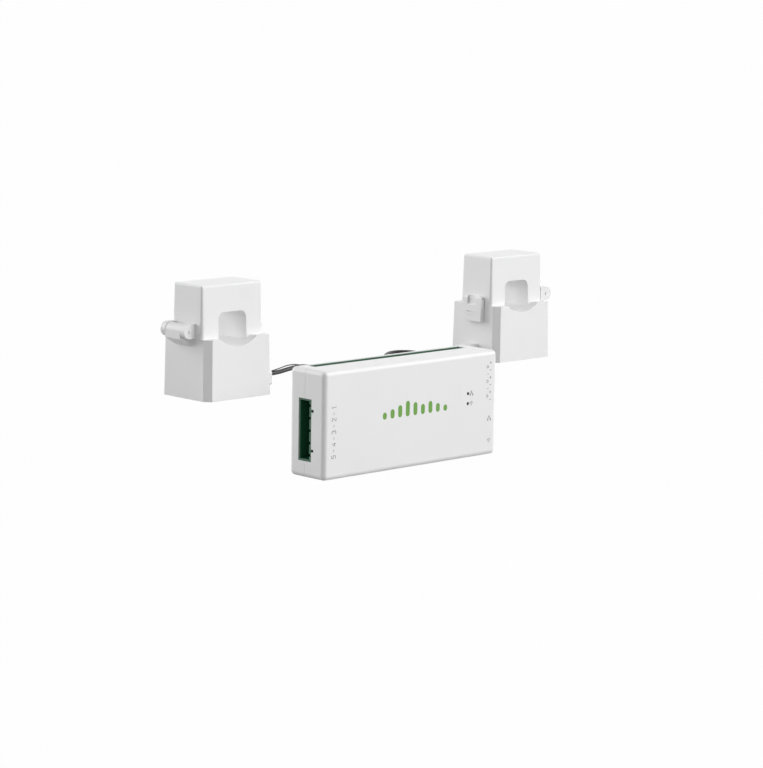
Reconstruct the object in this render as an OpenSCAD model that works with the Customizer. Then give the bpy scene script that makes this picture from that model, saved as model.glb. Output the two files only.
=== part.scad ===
// Smart energy monitor: a flat wall-box with green pluggable headers, and two
// split-core current clamps on twisted leads, standing behind it.
// Millimetres, +X to the monitor's right, +Y to its back, +Z up.
// The origin is the middle of the monitor's underside.

/* [Monitor case] */
// Width of the case
case_w = 149; // [140:1:190]
// Depth of the case, front face to back face
case_d = 31; // [29:1:44]
// Height of the case
case_h = 67; // [66:1:90]
// Wall of both shells
case_wall = 2; // [1.5:0.1:2.2]
// Radius of the case edges
case_edge_r = 3; // [2.2:0.1:6]
// Depth of the front shell, front face to parting line
front_shell_d = 17.5; // [15:0.5:18]
// Width and depth of the groove at the parting line
seam = 0.2; // [0.2:0.1:0.6]
// Radius of the case screws' threads
screw_r = 1.5; // [1:0.1:1.8]
// Radius of the screw bosses
boss_r = 3.2; // [2.8:0.1:4]
// Thickness of the circuit board
board_t = 1.6; // [1:0.1:2]
// Gap between the board and the back wall
board_gap = 0.9; // [0.8:0.1:2]

/* [Sockets] */
// Clearance between a header and its cut-out in the case
socket_clear = 0.2; // [0.1:0.05:0.4]
// How far the headers sit below the case's faces
socket_sunk = 0.3; // [0.1:0.1:0.8]
// Wall of the green headers
header_wall = 1; // [0.8:0.1:1.3]
// Thickness of the header pins
pin_t = 1; // [0.6:0.1:1.2]
// Wall of the supply header on its notched side
power_key_wall = 1.9; // [1.8:0.1:3]
// Pin spacing of the supply header on the left end
power_pitch = 7.62; // [5.08:0.01:7.62]
// Height of the middle of the supply header
power_z = 29.5; // [26:0.5:34]
// Depth of the supply header into the case
power_deep = 12; // [11:0.5:14]
// Number of branch ports along the top
branch_ports = 16; // [8:1:16]
// Spacing of the branch ports
branch_pitch = 8; // [7.4:0.1:8]
// Width of the branch header across the case
branch_w = 7.4; // [7:0.1:7.8]
// Height of the branch header
branch_h = 10.2; // [9.6:0.1:12]
// Pin spacing of the clamp ports on the right end
clamp_pitch = 5.08; // [3.81:0.01:5.08]
// Height of the middle of the clamp ports
clamp_port_z = 47.3; // [46.8:0.1:47.6]
// Depth of the clamp ports into the case
clamp_port_deep = 8.3; // [8:0.1:8.5]
// Height of the middle of the network jack
jack_z = 22.4; // [21.6:0.1:22.8]
// Height of the aerial connector
aerial_z = 8.8; // [8:0.1:9.4]
// Radius of the aerial connector's thread
aerial_r = 3.15; // [2.5:0.05:3.2]
// Length of the thread outside the case
aerial_out = 8; // [5:0.5:12]
// Radius of the status light pipes
light_r = 1; // [0.8:0.1:1.5]
// Height of the upper status light
light_z = 41.4; // [34:0.1:44]
// Spacing of the two status lights
light_step = 6.4; // [5:0.1:9]

/* [Current clamp] */
// Width of the clamp at its joint, hinge end to latch end
clamp_w = 57.4; // [57:0.2:75]
// Depth of the lower body at the joint
clamp_d = 46; // [44:0.5:60]
// Height of the lower body
clamp_body_h = 43.6; // [42:0.2:60]
// Lean of the lower body's sides, out from the joint to the base
clamp_draft = 0.7; // [0.2:0.1:1.2]
// Bevel on two of the upright edges
clamp_bevel = 4.6; // [2:0.2:6]
// Wall of the clamp's mouldings
clamp_wall = 2; // [1.6:0.1:2.2]
// Height of the cap above the lower body
cap_h = 37.8; // [36:0.2:48]
// Depth of the cap at the joint
cap_d = 32.5; // [28:0.5:36]
// Lean of the cap's sides, in from the joint to the top
cap_draft = 1; // [0.2:0.1:1.2]
// Radius of the cap's edges
cap_edge_r = 1.6; // [1:0.1:3]
// Width of the window for the conductor
window_w = 26; // [20:0.5:26]
// Height of the window's arch above the joint
window_h = 18; // [15:0.5:18]
// Radius of the arch's corners
window_r = 5.5; // [3:0.5:7]
// Depth of the saddle in the lower body
saddle_deep = 6; // [3:0.5:7]
// Radius of the saddle
saddle_r = 27; // [24:0.5:32]
// Depth of the core from front to back
core_d = 20; // [14:0.5:22]
// Thickness of the core's yokes
core_yoke = 11.2; // [8:0.2:11.4]
// Thickness of the base cover
base_t = 2.5; // [2:0.1:3]
// Length of the lead outlet outside the body
outlet_len = 18.4; // [14:0.2:26]
// Height of the lead where it leaves the outlet
outlet_z = 10.6; // [8:0.1:10.8]

/* [Hinge and latch] */
// Radius of the lower body's hinge knuckle
knuckle_r = 5; // [4:0.1:6]
// Gap between the hinge parts, and between the cap's end and the knuckle
hinge_gap = 0.2; // [0.2:0.05:0.5]
// Radius of the hinge pin
hinge_pin_r = 1.1; // [1:0.1:2]
// Length of the hinge barrel
hinge_len = 26; // [20:0.5:26]
// Width of each cap lug along the barrel
lug_w = 4.75; // [3.5:0.25:6]
// Radial clearance of a turning pin
pin_clear = 0.05; // [0.03:0.01:0.1]
// Width of the latch
latch_w = 19.5; // [17:0.5:24]
// Thickness of the latch
latch_t = 4.2; // [3.4:0.1:5]
// Reach of the latch below the joint
latch_drop = 12.5; // [12:0.5:17]
// Height of the latch pin above the joint
latch_pin_up = 5; // [2.6:0.1:6]
// Radius of the latch pin
latch_pin_r = 0.8; // [0.5:0.05:0.9]
// Gap between the latch and the faces beside it
latch_gap = 0.3; // [0.2:0.05:0.5]
// How far the catch reaches over the latch bar
catch_hold = 0.3; // [0.1:0.05:0.35]

/* [Leads] */
// Diameter of a twisted lead over both wires
lead_d = 4; // [3:0.1:4.4]
// Gap between neighbouring turns of a coil
turn_gap = 0.6; // [0.45:0.05:1]
// Outer turn's radius of the left lead's coil
left_coil_r = 25.5; // [24:0.5:30]
// Outer turn's radius of the right lead's coil
right_coil_r = 28.5; // [24:0.5:30]
// Thickness of a coil tie
tie_t = 0.8; // [0.5:0.1:1.2]
// Width of a coil tie
tie_w = 4; // [3:0.5:8]

/* [Hidden] */

$fn = 48;
// Overshoot of a cut past the face it opens
cut = 1;

// Colours as the photograph shows them
white_plastic = "#F1F1EF";
header_green = "#1F5B3D";
board_green = "#2E6B45";
tin = "#C9CBCC";
dark_ferrite = "#4A4C4E";
copper = "#B4693A";
smoke = "#1B1C1D";

// Planes of the case
x_left = -case_w / 2;
x_right = case_w / 2;
y_front = -case_d / 2;
y_back = case_d / 2;
y_part = y_front + front_shell_d;
board_y1 = y_back - case_wall - board_gap;
board_y0 = board_y1 - board_t;
board_margin = 1;
board_x0 = x_left + case_wall + board_margin;
board_x1 = x_right - case_wall - board_margin;
board_z0 = case_wall + board_margin;
board_z1 = case_h - case_wall - board_margin;

// Places of the screw bosses: [x, z] from the case's middle and underside
boss_x = case_w / 2 - 18;
boss_low = 6.5;
boss_gap = 2.3;
boss_high = case_h - socket_sunk - branch_h - boss_r - boss_gap;
bosses = [for (x = [-boss_x, boss_x], z = [boss_low, boss_high]) [x, z]];
screw_clear = 0.05;
head_r = 2.75;
head_t = 1.6;
head_sunk = 0.2;
head_clear = 0.25;
head_cross_w = 0.7;
head_cross_len = 3.4;
head_cross_deep = 0.9;
boss_pad = 0.6;
screw_len = 13;
head_seat_y = y_back - head_sunk - head_t;

// Supply header: five ways, sunk in the left end
power_ways = 5;
power_x0 = x_left + socket_sunk;
power_x1 = power_x0 + power_deep;
power_back = 11.7;
power_w = 11;
power_y0 = y_front + power_back;
power_y1 = power_y0 + power_w;
power_len = power_ways * power_pitch;
header_floor = 3;
power_floor = power_x1 - header_floor;
pin_sunk = 4.7;
power_pin_tip = power_x0 + pin_sunk;
foot_back = case_wall + 2;
key_slot = [1.7, 1.3];
power_well_y0 = power_y0 + power_key_wall;
power_well_y1 = power_y1 - header_wall;
key_step = 1.6 * power_pitch;
key_dots = [power_z + key_step, power_z - key_step];
key_dot = [case_wall + 0.5, 2, 1.8];

// Branch header: a row of two-pin ports in a slot along the top
branch_len = branch_ports * branch_pitch + 2 * header_wall;
branch_z1 = case_h - socket_sunk;
branch_z0 = branch_z1 - branch_h;
branch_y0 = board_y0 - branch_w;
branch_floor = branch_z0 + 2;
branch_pin_tip = branch_z1 - pin_sunk;
branch_pin_step = 3.81;
rib_t = 1;

// Clamp ports: two-pin ports in the right end
port_len = 2 * clamp_pitch;
clamp_x1 = x_right - socket_sunk;
clamp_x0 = clamp_x1 - clamp_port_deep;
clamp_port_w = 10;
clamp_port_lift = 1.5;
clamp_y1 = board_y0 - clamp_port_lift;
clamp_y0 = clamp_y1 - clamp_port_w;
clamp_floor = clamp_x0 + 1.6;
clamp_pin_tip = clamp_x1 - pin_sunk;

// Network jack
jack_w = 15.6;
jack_h = 13.5;
jack_deep = 14.7;
jack_wall = 1.9;
jack_x0 = clamp_x1 - jack_deep;
jack_y0 = board_y0 - jack_h;
plug_well = [8, 11.8];
tab_slot = [1, 5.9];
contacts = 8;
contact_len = 8;
contact_t = 0.5;
contact_step = 1.02;

// As many clamp ports as fit over the jack, under the branch header where it reaches above them
ports_top = branch_len / 2 < clamp_x0 ? case_h - case_wall : branch_z0;
ports_half = min(ports_top - clamp_port_z, clamp_port_z - jack_z - jack_w / 2);
clamp_ports = floor(2 * ports_half / port_len);
clamp_len = clamp_ports * port_len;

// Aerial connector on the board's lower right corner
aerial_clear = 0.15;
aerial_y = y_part + aerial_r + aerial_clear + socket_clear;
aerial_hole_r = aerial_r + aerial_clear;
aerial_base = 7.2;
aerial_neck_r = aerial_r * 0.9;
aerial_bore_r = aerial_r * 0.72;
aerial_bore = 3;
aerial_core_r = aerial_r * 0.2;
aerial_core_sunk = 0.6;

// Status lights on the front
light_back = 26;
light_x = x_right - light_back;
light_heights = [light_z, light_z - light_step];
light_clear = 0.05;
light_flange = 0.8;
light_flange_t = 1;
light_chip = 1.5;
light_chip_w = 3.2;
light_chip_h = 2;

// Parts on the board, by the [x, z] of their low corners or middles
transformer_at = [x_left + 24, 10];
transformer_w = 24;
transformer_h = 20;
transformer_d = 16;
transformer_foot = 3;
capacitor_x = -16;
capacitor_z = [14, 26];
capacitor_r = 5;
capacitor_h = 17;
absorber_x = [for (i = [0 : 2]) x_left + 34 + 6 * i];
absorber_z = boss_high - 9;
absorber_r = 5;
absorber_t = 4;
absorber_lift = 1;
absorber_leg = 1;
radio_at = [x_right - 44, 6];
radio_w = 16;
radio_h = 24;
radio_board_t = 0.8;
radio_can_t = 2.2;
radio_edge = 1;
radio_aerial_h = 6;
chip_at = [2, 24];
chip_w = 10;
chip_t = 1.4;
resistor_w = 3.2;
resistor_h = 1.6;
resistor_t = 0.6;
resistor_drop = 3;
resistor_step = branch_pitch * 0.8;

// Clamp places: middle of each base, and its turn about the upright
left_place = [87, 272, 0];
right_place = [380.5, 274.5, 0];

// Clamp construction, in the clamp's own frame: hinge on -X, latch on +X
clamp_x = clamp_w / 2;
joint_z = clamp_body_h;
cap_top = joint_z + cap_h;
core_gap = 0.3;
leg_x0 = window_w / 2 + clamp_wall + core_gap;
leg_x1 = clamp_x - clamp_wall - core_gap;
saddle_z = joint_z - saddle_deep + saddle_r;
lower_yoke_z = 11;
upper_yoke_z = joint_z + window_h + clamp_wall + core_gap;
pole_gap = 0.05;
bobbin_wall = 1.2;
bobbin_flange = 2;
bobbin_lip = 0.8;
bobbin_x = window_w / 2 + bobbin_lip;
winding_t = 4.4;
cover_gap = 0.1;
post_w = (leg_x1 - leg_x0) * 0.7;
post_d = core_d * 0.8;
outlet_w = 10;
outlet_h = 10.4;
outlet_cover = 0.6;
outlet_edge_r = 2;
outlet_gap = 0.1;
outlet_mid = outlet_z + lead_d / 2 + outlet_cover - outlet_h / 2;
outlet_x0 = clamp_x + clamp_draft * (1 - (outlet_mid - outlet_h / 2) / joint_z);
spring_t = 0.5;
spring_inset = 2;
spring_crown = 4;
post_over = 0.03;

// Hinge
hinge_x = -clamp_x - knuckle_r - hinge_gap;
knuckle_lift = 0.4;
hinge_z = joint_z + knuckle_r + knuckle_lift;
hinge_y1 = cap_d / 2;
hinge_y0 = hinge_y1 - hinge_len;
lug_r = knuckle_r + hinge_gap;
gusset_drop = 6;
pin_proud = 0.4;

// Latch
latch_x0 = clamp_x + clamp_draft * latch_drop / joint_z + latch_gap;
latch_pin_in = 1.5;
latch_pin_x = latch_x0 + latch_pin_in;
latch_pin_z = joint_z + latch_pin_up;
latch_arm_w = 5.4;
latch_bar_drop = 8;
latch_bar_z = joint_z - latch_bar_drop;
latch_skin = 1.2;
latch_skin_rise = 1.2;
latch_lug_x1 = latch_x0 + latch_t - latch_skin - latch_gap;
latch_lug_up = 1.6;
grip_lines = [[5.2, 0.7, 0.8], [7.9, 0.5, 0.4]];
catch_lift = 1.7;
catch_z0 = latch_bar_z + catch_lift;
catch_drop = 1.6;
catch_z1 = joint_z - catch_drop;
catch_rake = 0.15;
catch_side = 2;
catch_w = latch_w - 2 * latch_arm_w - 2 * catch_side;
latch_knuckle_w = latch_w - 2 * latch_arm_w - 2 * latch_gap;

// Leads: routes from the outlet's tip along the floor to the coil's first turn
lead_r = lead_d / 2;
floor_z = 2.05;
coil_pitch = lead_d + turn_gap;
tie_gap = 0.3;
coil_z0 = tie_t + tie_gap + lead_r;
coil_z1 = coil_z0 + coil_pitch;
left_coil_place = [238, 254];
left_coil_turns = [2.5, 2.5];
right_coil_place = [195, 168];
right_coil_turns = [2.75, 2.75];
tie_angle = 200;
coil_tail = 22;
outlet_tip = outlet_x0 + outlet_len;
left_tip = left_place + [outlet_tip, 0, outlet_z];
right_tip = right_place + [-outlet_tip, 0, outlet_z];
left_coil_start = [left_coil_place[0] + lead_d, left_coil_place[1] + left_coil_r, coil_z0];
right_coil_start = [right_coil_place[0] + lead_d, right_coil_place[1] + right_coil_r, coil_z0];
left_route = [
  left_tip, left_tip + [lead_d, 0, 0], [147, 272.1, 11.2], [154, 272.5, 12.1], [161, 273.1, 12.6],
  [168, 274, 12.5], [176, 275, 11.4], [184, 276, 9.5], [192, 277, 7.3], [200, 278.2, 5.1],
  [208, 279.8, 3.4], [216, 282, 2.4], [225, 285, floor_z], [234, 288.4, floor_z],
  [243, 292.2, floor_z], [252, 296.2, floor_z], [261, 300.2, floor_z], [270, 304, floor_z],
  [279, 307.8, floor_z], [287.6, 312.2, floor_z], [295.6, 317.6, floor_z], [303.4, 323.4, floor_z],
  [312, 328.2, floor_z], [321.2, 328.8, floor_z], [328.4, 323.8, floor_z], [331.4, 315.6, floor_z],
  [330.8, 306.8, floor_z], [327.2, 298.8, floor_z], [320.8, 292.6, floor_z], [312.4, 288.6, floor_z],
  [302.8, 286.6, floor_z], [293, 285.8, floor_z], [283.2, 285.2, floor_z], [273.6, 284.2, floor_z],
  [264.8, 282.2, 2.2], [256, 280.2, 2.7],
  left_coil_start + [lead_d, 0, 0], left_coil_start
];
right_route = [
  right_tip, right_tip - [lead_d, 0, 0], [320.5, 273.9, 10], [313.5, 272, 8.6], [307.4, 268, 6.4],
  [302.8, 262, 4.2], [299.6, 254.6, 2.6], [296.8, 246.6, floor_z], [294, 238, floor_z],
  [290.2, 229.6, floor_z], [285, 222, floor_z], [278.2, 215.6, floor_z], [270, 210.6, floor_z],
  [261, 207, floor_z], [251.6, 204.2, floor_z], [242, 201.8, floor_z], [232.4, 199.6, floor_z],
  [222.8, 197.8, 2.3], [213, 196.8, 2.8], right_coil_start + [lead_d, 0, 0], right_coil_start
];

// Plug on each lead's end
plug_len = 16;
plug_h = 2 * coil_z1;
plug_w = 10.2;
plug_body = plug_len * 0.6;
plug_key = 0.8;
plug_nose_z0 = 2;
plug_nose_z1 = plug_h - 3;
plug_hole = 1.4;
plug_hole_deep = 5;
plug_screw_r = 1.6;
plug_screw_h = 1.6;
plug_screw_sunk = 2.5;
plug_screw_gap = 0.1;
plug_screw_slot = [0.6, 0.6];

// Direction of a path at its point i
function heading(path, i) =
  let (a = path[max(i - 1, 0)], b = path[min(i + 1, len(path) - 1)]) (b - a) / norm(b - a);

// Rings of points round a path, each square to it
function tube_points(path, r, sides) = [
  for (i = [0 : len(path) - 1])
    let (t = heading(path, i), side = cross(t, [0, 0, 1]), s = side / norm(side), u = cross(s, t))
      for (k = [0 : sides - 1])
        let (a = 360 * (k + 0.5) / sides) path[i] + r * (cos(a) * s + sin(a) * u)
];

// Triangles of a closed tube of n rings
function tube_faces(n, sides) = concat(
  [for (k = [1 : sides - 2]) [0, k, k + 1]],
  [for (k = [1 : sides - 2]) [(n - 1) * sides, (n - 1) * sides + k + 1, (n - 1) * sides + k]],
  [for (i = [0 : n - 2], k = [0 : sides - 1])
    let (a = i * sides + k, b = i * sides + (k + 1) % sides)
      each [[a, a + sides, b], [b, a + sides, b + sides]]]
);

// A coil's path: in along the lower layer, up in half a turn, out along the upper layer
turn_rings = 24;
function coil_path(place, r_out, turns) =
  let (
    n_in = round(turn_rings * turns[0]),
    n_up = turn_rings / 2,
    n_out = round(turn_rings * turns[1]),
    n_turn = n_in + n_up / 2,
    last = n_in + n_up + n_out,
    turned = [for (i = [0 : last])
      let (
        a = 90 + 360 * i / turn_rings,
        up = min(max((i - n_in) / n_up, 0), 1),
        r = r_out - coil_pitch * (n_turn - abs(i - n_turn)) / turn_rings
      ) [place[0] + r * cos(a), place[1] + r * sin(a), coil_z0 + coil_pitch * up]],
    a_end = 90 + 360 * last / turn_rings
  )
  concat(
    [[place[0] + lead_d, place[1] + r_out, coil_z0]],
    turned,
    [for (run = [lead_d, coil_tail]) turned[last] + run * [-sin(a_end), cos(a_end), 0]]
  );

left_coil_path = coil_path(left_coil_place, left_coil_r, left_coil_turns);
right_coil_path = coil_path(right_coil_place, right_coil_r, right_coil_turns);

// Least clear gap between turns that lie half a turn or more apart along the coil
function self_gap(path) = min([
  for (i = [0 : len(path) - 1], j = [0 : len(path) - 1])
    if (j - i >= turn_rings / 2) norm(path[i] - path[j])
]) - lead_d;
function steps(path) = [for (i = [1 : len(path) - 1]) norm(path[i] - path[i - 1])];
function path_length(path) = steps(path) * [for (d = steps(path)) 1];
echo(left_coil_least_gap = self_gap(left_coil_path), right_coil_least_gap = self_gap(right_coil_path));
echo(left_lead_length = path_length(left_route) + path_length(left_coil_path));
echo(right_lead_length = path_length(right_route) + path_length(right_coil_path));

// A rectangle with round corners, middle at the origin
module rounded_rect(w, h, r) {
  square([w - 2 * r, h], center = true);
  square([w, h - 2 * r], center = true);
  for (x = [-1, 1], y = [-1, 1]) translate([x * (w / 2 - r), y * (h / 2 - r)]) circle(r);
}

// A block with all its edges round, middle at the origin
module soft_block(size, r) {
  core = size - [2 * r, 2 * r, 2 * r];
  cube([size[0], core[1], core[2]], center = true);
  cube([core[0], size[1], core[2]], center = true);
  cube([core[0], core[1], size[2]], center = true);
  soft_edges(core, r);
  rotate([90, 0, 0]) soft_edges([core[0], core[2], core[1]], r);
  rotate([90, 0, 90]) soft_edges([core[1], core[2], core[0]], r);
  for (x = [-1, 1], y = [-1, 1], z = [-1, 1])
    translate([x * core[0] / 2, y * core[1] / 2, z * core[2] / 2]) intersection() {
      sphere(r = r);
      translate([x * r / 2, y * r / 2, z * r / 2]) cube(r, center = true);
    }
}

// Four quarter-round edges along Z at the corners of a core
module soft_edges(core, r) {
  for (x = [-1, 1], y = [-1, 1])
    translate([x * core[0] / 2, y * core[1] / 2, 0]) intersection() {
      cylinder(r = r, h = core[2], center = true);
      translate([x * r / 2, y * r / 2, 0]) cube([r, r, core[2]], center = true);
    }
}

// A box given by its lowest and highest corners
module span(low, high) translate(low) cube(high - low);

// A round bar along Y through [x, z]
module bar_y(x, z, r, y0, y1) translate([x, y1, z]) rotate([90, 0, 0]) cylinder(r = r, h = y1 - y0);

// A round bar along X through [y, z]
module bar_x(y, z, r, x0, x1) translate([x0, y, z]) rotate([0, 90, 0]) cylinder(r = r, h = x1 - x0);

// The case's outline, drawn in by an inset
module case_block(inset) {
  translate([0, 0, case_h / 2])
    soft_block([case_w - 2 * inset, case_d - 2 * inset, case_h - 2 * inset], max(case_edge_r - inset, 0.6));
}

// Cut-outs for every socket, through both shells
module socket_cuts() {
  c = socket_clear;
  span([x_left - cut, power_y0 - c, power_z - power_len / 2 - c],
       [x_left + case_wall + cut, power_y1 + c, power_z + power_len / 2 + c]);
  span([-branch_len / 2 - c, branch_y0 - c, case_h - case_wall - cut],
       [branch_len / 2 + c, board_y0 + c, case_h + cut]);
  span([x_right - case_wall - cut, clamp_y0 - c, clamp_port_z - clamp_len / 2 - c],
       [x_right + cut, clamp_y1 + c, clamp_port_z + clamp_len / 2 + c]);
  span([x_right - case_wall - cut, jack_y0 - c, jack_z - jack_w / 2 - c],
       [x_right + cut, board_y0 + c, jack_z + jack_w / 2 + c]);
  bar_x(aerial_y, aerial_z, aerial_hole_r, x_right - case_wall - cut, x_right + cut);
}

module front_shell() {
  color(white_plastic) difference() {
    union() {
      difference() {
        intersection() {
          case_block(0);
          span([x_left - cut, y_front - cut, -cut], [x_right + cut, y_part, case_h + cut]);
        }
        case_block(case_wall);
      }
      for (b = bosses) bar_y(b[0], b[1], boss_r, y_front + case_wall / 2, board_y0);
    }
    for (b = bosses) bar_y(b[0], b[1], screw_r + screw_clear, y_front + case_wall + cut, board_y0 + cut);
    for (z = light_heights)
      bar_y(light_x, z, light_r + light_clear, y_front - cut, y_front + case_wall + cut);
    for (z = key_dots)
      span([x_left - cut, power_y0 - socket_clear - key_dot[1], z - key_dot[2] / 2],
           [x_left + key_dot[0], power_y0 - socket_clear + cut / 2, z + key_dot[2] / 2]);
    difference() {
      span([x_left - cut, y_part - seam, -cut], [x_right + cut, y_part + cut, case_h + cut]);
      case_block(seam);
    }
    socket_cuts();
  }
}

module rear_shell() {
  color(white_plastic) difference() {
    union() {
      difference() {
        intersection() {
          case_block(0);
          span([x_left - cut, y_part, -cut], [x_right + cut, y_back + cut, case_h + cut]);
        }
        case_block(case_wall);
      }
      for (b = bosses) bar_y(b[0], b[1], boss_r + boss_pad, board_y1, y_back - case_wall / 2);
    }
    for (b = bosses) {
      bar_y(b[0], b[1], screw_r + screw_clear, board_y1 - cut, y_back + cut);
      bar_y(b[0], b[1], head_r + head_clear, head_seat_y, y_back + cut);
    }
    socket_cuts();
  }
}

module main_board() {
  color(board_green) difference() {
    span([board_x0, board_y0, board_z0], [board_x1, board_y1, board_z1]);
    for (b = bosses) bar_y(b[0], b[1], screw_r + screw_clear, board_y0 - cut, board_y1 + cut);
  }
}

module power_header() {
  z0 = power_z - power_len / 2;
  z1 = power_z + power_len / 2;
  w = header_wall;
  color(header_green) difference() {
    union() {
      span([power_x0, power_y0, z0], [power_x1, power_y1, z1]);
      span([power_x0 + foot_back, power_y1 - w, z0], [power_x1, board_y0, z1]);
    }
    span([power_x0 - cut, power_well_y0, z0 + w], [power_floor, power_well_y1, z1 - w]);
    for (i = [0 : power_ways - 1]) {
      z = power_z + (i - (power_ways - 1) / 2) * power_pitch;
      span([power_x0 - cut, power_well_y0 - key_slot[1], z - key_slot[0] / 2],
           [power_floor, power_well_y0 + cut, z + key_slot[0] / 2]);
    }
  }
}

module power_pins() {
  y = (power_well_y0 + power_well_y1) / 2;
  color(tin) for (i = [0 : power_ways - 1]) {
    z = power_z + (i - (power_ways - 1) / 2) * power_pitch;
    span([power_pin_tip, y - pin_t / 2, z - pin_t / 2], [power_floor, y + pin_t / 2, z + pin_t / 2]);
  }
}

module branch_header() {
  w = header_wall;
  color(header_green) difference() {
    span([-branch_len / 2, branch_y0, branch_z0], [branch_len / 2, board_y0, branch_z1]);
    span([-branch_len / 2 + w, branch_y0 + w, branch_pin_tip],
         [branch_len / 2 - w, board_y0 - w, branch_z1 + cut]);
    for (i = [0 : branch_ports - 1]) {
      x = (i - (branch_ports - 1) / 2) * branch_pitch;
      half = (branch_pitch - rib_t) / 2;
      span([x - half, branch_y0 + w, branch_floor], [x + half, board_y0 - w, branch_z1]);
    }
  }
}

module branch_pins() {
  y = (branch_y0 + board_y0) / 2;
  color(tin) for (i = [0 : branch_ports - 1], side = [-1, 1]) {
    x = (i - (branch_ports - 1) / 2) * branch_pitch + side * branch_pin_step / 2;
    span([x - pin_t / 2, y - pin_t / 2, branch_floor], [x + pin_t / 2, y + pin_t / 2, branch_pin_tip]);
  }
}

module clamp_port_header() {
  w = header_wall;
  z0 = clamp_port_z - clamp_len / 2;
  color(header_green) difference() {
    union() {
      span([clamp_x0, clamp_y0, z0], [clamp_x1, clamp_y1, z0 + clamp_len]);
      span([clamp_x0, clamp_y1 - w, z0], [clamp_x1 - foot_back, board_y0, z0 + clamp_len]);
    }
    for (i = [0 : clamp_ports - 1])
      span([clamp_floor, clamp_y0 + w, z0 + i * port_len + w / 2],
           [clamp_x1 + cut, clamp_y1 - w, z0 + (i + 1) * port_len - w / 2]);
  }
}

module clamp_port_pins() {
  y = (clamp_y0 + clamp_y1) / 2;
  color(tin) for (i = [0 : 2 * clamp_ports - 1]) {
    z = clamp_port_z + (i - clamp_ports + 0.5) * clamp_pitch;
    span([clamp_floor, y - pin_t / 2, z - pin_t / 2], [clamp_pin_tip, y + pin_t / 2, z + pin_t / 2]);
  }
}

module network_jack() {
  well_y = jack_y0 + jack_wall;
  color(tin) difference() {
    span([jack_x0, jack_y0, jack_z - jack_w / 2], [clamp_x1, board_y0, jack_z + jack_w / 2]);
    span([jack_x0 + jack_wall, well_y, jack_z - plug_well[1] / 2],
         [clamp_x1 + cut, well_y + plug_well[0], jack_z + plug_well[1] / 2]);
    span([jack_x0 + jack_wall, well_y - tab_slot[0], jack_z - tab_slot[1] / 2],
         [clamp_x1 + cut, well_y + cut, jack_z + tab_slot[1] / 2]);
  }
}

module network_contacts() {
  y1 = jack_y0 + jack_wall + plug_well[0];
  x0 = jack_x0 + jack_wall;
  color("gold") for (i = [0 : contacts - 1]) {
    z = jack_z + (i - (contacts - 1) / 2) * contact_step;
    span([x0, y1 - contact_t, z - contact_t / 2], [x0 + contact_len, y1, z + contact_t / 2]);
  }
}

module aerial_connector() {
  base_x1 = x_right - case_wall - socket_clear;
  tip = x_right + aerial_out;
  color("goldenrod") difference() {
    union() {
      bar_x(aerial_y, aerial_z, aerial_neck_r, base_x1 - cut, x_right + cut);
      bar_x(aerial_y, aerial_z, aerial_r, x_right, tip);
      span([base_x1 - aerial_base, aerial_y - aerial_base / 2, aerial_z - aerial_base / 2],
           [base_x1, board_y0, aerial_z + aerial_base / 2]);
    }
    difference() {
      bar_x(aerial_y, aerial_z, aerial_bore_r, tip - aerial_bore, tip + cut);
      bar_x(aerial_y, aerial_z, aerial_core_r, x_right, tip - aerial_core_sunk);
    }
  }
}

module light_pipes() {
  flange_y = y_front + case_wall;
  color(smoke) for (z = light_heights) {
    bar_y(light_x, z, light_r, y_front, board_y0 - light_chip);
    bar_y(light_x, z, light_r + light_flange, flange_y, flange_y + light_flange_t);
  }
}

module status_lights() {
  color("white") for (z = light_heights) {
    span([light_x - light_chip_w / 2, board_y0 - light_chip, z - light_chip_h / 2],
         [light_x + light_chip_w / 2, board_y0, z + light_chip_h / 2]);
  }
}

module supply_transformer() {
  x0 = transformer_at[0];
  z0 = transformer_at[1];
  w = transformer_w;
  h = transformer_h;
  foot_y = board_y0 - transformer_foot;
  top_y = board_y0 - transformer_d;
  color(dark_ferrite) {
    span([x0, foot_y, z0], [x0 + w, board_y0, z0 + h]);
    span([x0, top_y, z0 + h / 4], [x0 + w, foot_y, z0 + 3 * h / 4]);
    span([x0 + w / 6, top_y + transformer_foot, z0 + h / 10], [x0 + 5 * w / 6, foot_y, z0 + 9 * h / 10]);
  }
}

module capacitors() {
  color("#2B3A55") for (z = capacitor_z)
    bar_y(capacitor_x, z, capacitor_r, board_y0 - capacitor_h, board_y0);
}

module surge_absorbers() {
  color("#2F6EA5") for (x = absorber_x) {
    mid = x + absorber_t / 2;
    bar_x(board_y0 - absorber_r - absorber_lift, absorber_z, absorber_r, x, x + absorber_t);
    span([mid - absorber_leg / 2, board_y0 - absorber_r, absorber_z - absorber_leg / 2],
         [mid + absorber_leg / 2, board_y0, absorber_z + absorber_leg / 2]);
  }
}

module radio_module() {
  x0 = radio_at[0];
  z0 = radio_at[1];
  face_y = board_y0 - radio_board_t;
  color("silver") {
    span([x0, face_y, z0], [x0 + radio_w, board_y0, z0 + radio_h]);
    span([x0 + radio_edge, face_y - radio_can_t, z0 + radio_edge],
         [x0 + radio_w - radio_edge, face_y, z0 + radio_h - radio_aerial_h]);
  }
}

module metering_chip() {
  low = [chip_at[0], board_y0 - chip_t, chip_at[1]];
  color(smoke) span(low, low + [chip_w, chip_t, chip_w]);
}

module sense_resistors() {
  z1 = branch_z0 - resistor_drop;
  color("#303236") for (i = [0 : branch_ports - 1]) {
    x = (i - (branch_ports - 1) / 2) * resistor_step;
    span([x - resistor_w / 2, board_y0 - resistor_t, z1 - resistor_h], [x + resistor_w / 2, board_y0, z1]);
  }
}

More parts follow.
